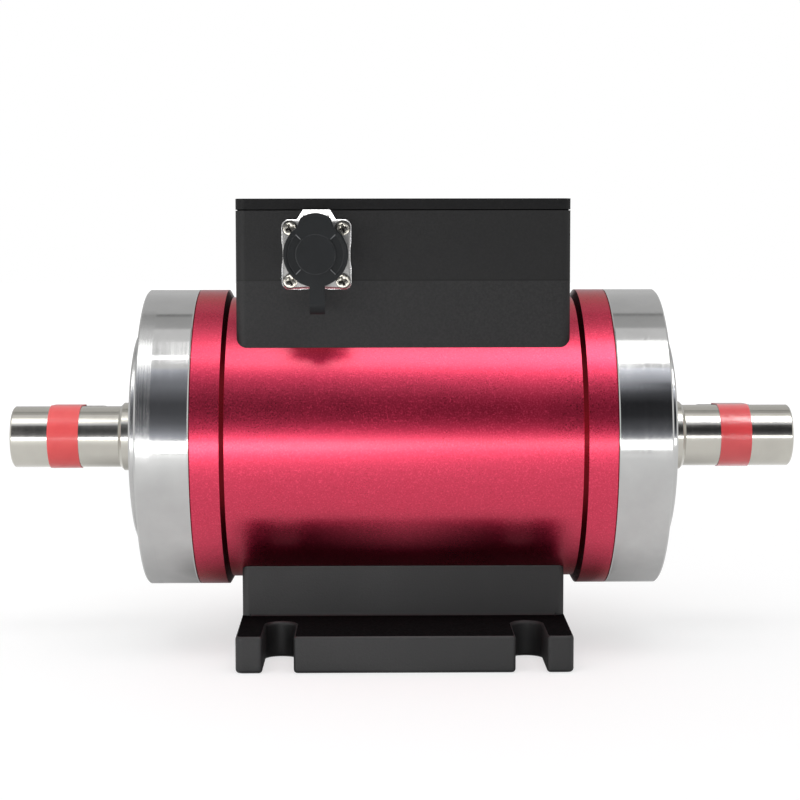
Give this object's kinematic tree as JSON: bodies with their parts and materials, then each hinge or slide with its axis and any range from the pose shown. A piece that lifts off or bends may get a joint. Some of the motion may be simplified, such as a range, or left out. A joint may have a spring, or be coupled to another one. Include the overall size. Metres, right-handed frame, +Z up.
{
  "type": "rotary torque sensor",
  "caption": "Foot-mounted rotary torque sensor: keyed steel shaft through a round red housing on bearings, with an electronics box and a capped connector on top.",
  "frame": {"origin": "centre of the underside of the foot, on the floor", "axes": "+X along the shaft to the right, +Y from front to back, +Z up; the connector faces -Y"},
  "size_m": [0.2288, 0.1002, 0.1291],
  "materials": {
    "anodised_red": "red anodised, fine satin",
    "bright_metal": "turned and polished, nickel plated",
    "black_anodised": "black anodised, fine sandblasted matte",
    "screw_steel": "plain bright steel",
    "seal_rubber": "matte black rubber",
    "nickel": "satin nickel plate",
    "black_plastic": "moulded black plastic",
    "contact_gold": "gold plated",
    "bearing_steel": "ground bearing steel",
    "cage_brass": "machined brass",
    "coil_former": "white moulded plastic",
    "copper_wire": "enamelled copper",
    "circuit_board": "green solder mask",
    "board_parts": "moulded component bodies",
    "standoff_brass": "plain brass",
    "shaft_steel": "ground and polished steel",
    "key_steel": "drawn key steel",
    "red_tape": "semi-gloss red tape",
    "gauge_foil": "etched foil on film"
  },
  "bodies": {
    "housing": {"housing_tube": "anodised_red", "end_cap_left": "bright_metal", "end_cap_right": "bright_metal", "end_cap_screws_left": "screw_steel", "end_cap_screws_right": "screw_steel", "base_foot": "black_anodised", "base_screws": "screw_steel", "electronics_box": "black_anodised", "box_screws": "screw_steel", "lid_gasket": "seal_rubber", "box_lid": "black_anodised", "lid_screws": "screw_steel", "connector_gasket": "seal_rubber", "connector_shell": "nickel", "connector_screws": "screw_steel", "connector_insert": "black_plastic", "connector_contacts": "contact_gold", "cap_hinge_pin": "screw_steel", "cap_spring": "screw_steel", "shaft_seal_left": "seal_rubber", "shaft_seal_right": "seal_rubber", "bearing_outer_left": "bearing_steel", "bearing_outer_right": "bearing_steel", "bearing_shields": "bearing_steel", "bearing_circlip_left": "bearing_steel", "bearing_circlip_right": "bearing_steel", "stator_ring": "coil_former", "stator_winding": "copper_wire", "stator_leads": "copper_wire", "speed_pickup": "black_plastic", "main_board": "circuit_board", "board_components": "board_parts", "board_standoffs": "standoff_brass", "board_screws": "screw_steel"},
    "shaft": {"torque_shaft": "shaft_steel", "shaft_key_left": "key_steel", "shaft_key_right": "key_steel", "key_tape_left": "red_tape", "key_tape_right": "red_tape", "bearing_inner_left": "bearing_steel", "bearing_inner_right": "bearing_steel", "strain_gauges": "gauge_foil", "rotor_board": "circuit_board", "rotor_components": "black_plastic", "rotor_bobbin": "coil_former", "rotor_winding": "copper_wire", "speed_disc": "shaft_steel"},
    "cage_left": {"bearing_cage_left": "cage_brass", "bearing_balls_left": "bearing_steel"},
    "cage_right": {"bearing_cage_right": "cage_brass", "bearing_balls_right": "bearing_steel"},
    "flip_cap": {"connector_cap": "black_plastic", "cap_seal": "seal_rubber"}
  },
  "joints": [
    {"name": "shaft_spin", "type": "hinge", "parent": "housing", "child": "shaft", "pos_m": [0, 0, 0.06], "axis": [1, 0, 0], "continuous": true},
    {"name": "cage_left_orbit", "type": "hinge", "parent": "housing", "child": "cage_left", "pos_m": [-0.0631, 0, 0.06], "axis": [1, 0, 0], "continuous": true},
    {"name": "cage_right_orbit", "type": "hinge", "parent": "housing", "child": "cage_right", "pos_m": [0.0631, 0, 0.06], "axis": [1, 0, 0], "continuous": true},
    {"name": "cap_hinge", "type": "hinge", "parent": "housing", "child": "flip_cap", "pos_m": [-0.024, -0.03595, 0.12315], "axis": [-1, 0, 0], "range_deg": [0, 110], "stiffness_Nm_per_rad": 0.004, "springref_deg": -45.84}
  ],
  "couplings": [
    {"joint": "cage_left_orbit", "follows": "shaft_spin", "ratio": 0.39758},
    {"joint": "cage_right_orbit", "follows": "shaft_spin", "ratio": 0.39758}
  ]
}
